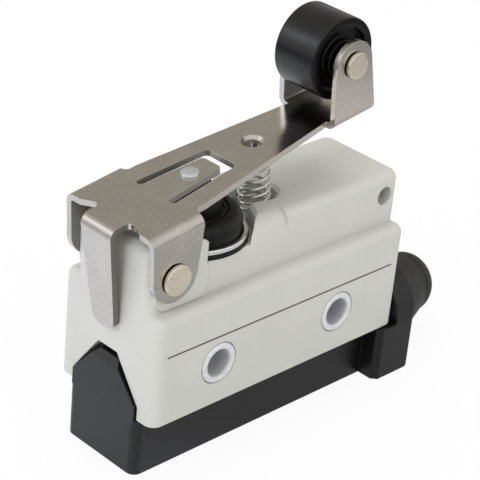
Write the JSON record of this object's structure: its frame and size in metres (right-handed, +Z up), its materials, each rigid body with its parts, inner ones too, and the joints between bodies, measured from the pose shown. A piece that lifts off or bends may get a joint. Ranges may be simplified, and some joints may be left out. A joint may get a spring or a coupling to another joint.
{
  "type": "micro switch",
  "caption": "Enclosed micro switch: a sprung roller lever presses a sealed plunger in a grey housing above a black wiring cover with a tapered cable bush.",
  "frame": {"origin": "Centre of the two mounting holes, in the middle plane of the body.", "axes": "+X along the body from the lever's pivot to the cable end, +Y through the mounting holes from front to back, +Z up towards the lever."},
  "size_m": [0.0747, 0.0228, 0.0629],
  "materials": {
    "grey_plastic": "warm light grey moulding, fine satin grain",
    "black_plastic": "near-black moulding, satin",
    "black_rubber": "matt black rubber",
    "lever_steel": "tumbled stainless sheet, semi-gloss",
    "spring_steel": "drawn bright wire",
    "bright_steel": "bright nickel plate",
    "pale_pin": "pale nickel-plated brass",
    "roller_plastic": "satin black hard plastic",
    "brown_plastic": "brown thermoset",
    "terminal_brass": "rolled brass strip",
    "blade_copper": "rolled beryllium copper",
    "contact_metal": "silver alloy"
  },
  "bodies": {
    "body": {"housing": "grey_plastic", "mount_bush_left": "bright_steel", "mount_bush_right": "bright_steel", "wiring_cover": "black_plastic", "cover_gasket": "black_rubber", "cover_screw": "bright_steel", "cable_bush": "black_rubber", "return_spring": "spring_steel", "rubber_boot": "black_rubber", "boot_ring": "bright_steel", "terminal_block": "brown_plastic", "common_terminal": "terminal_brass", "open_terminal": "terminal_brass", "closed_terminal": "terminal_brass", "open_contact": "contact_metal", "closed_contact": "contact_metal", "blade_rivet": "blade_copper", "terminal_screws": "bright_steel", "terminal_washers": "terminal_brass"},
    "lever": {"lever": "lever_steel", "pivot_pin": "pale_pin", "lever_button": "bright_steel", "roller_pin": "pale_pin"},
    "roller": {"roller": "roller_plastic"},
    "plunger": {"plunger": "brown_plastic"},
    "blade": {"contact_blade": "blade_copper", "moving_contact": "contact_metal"}
  },
  "joints": [
    {"name": "lever_pivot", "type": "hinge", "parent": "body", "child": "lever", "pos_m": [-0.0219, 0, 0.0168], "axis": [0, 1, 0], "range_deg": [0, 10], "stiffness_Nm_per_rad": 0.6, "springref_deg": -8.59, "deforming": ["return_spring", "rubber_boot"]},
    {"name": "roller_spin", "type": "hinge", "parent": "lever", "child": "roller", "pos_m": [0.01528, 0, 0.03965], "axis": [0, 1, 0], "continuous": true},
    {"name": "plunger_slide", "type": "slide", "parent": "body", "child": "plunger", "axis": [0, 0, -1], "range_m": [0, 0.00201]},
    {"name": "blade_hinge", "type": "hinge", "parent": "body", "child": "blade", "pos_m": [0.0197, 0, 0.00855], "axis": [0, -1, 0], "range_deg": [0, 4]}
  ],
  "couplings": [
    {"joint": "plunger_slide", "follows": "lever_pivot", "m_per_rad": 0.0114},
    {"joint": "blade_hinge", "follows": "lever_pivot", "ratio": 0.395}
  ]
}
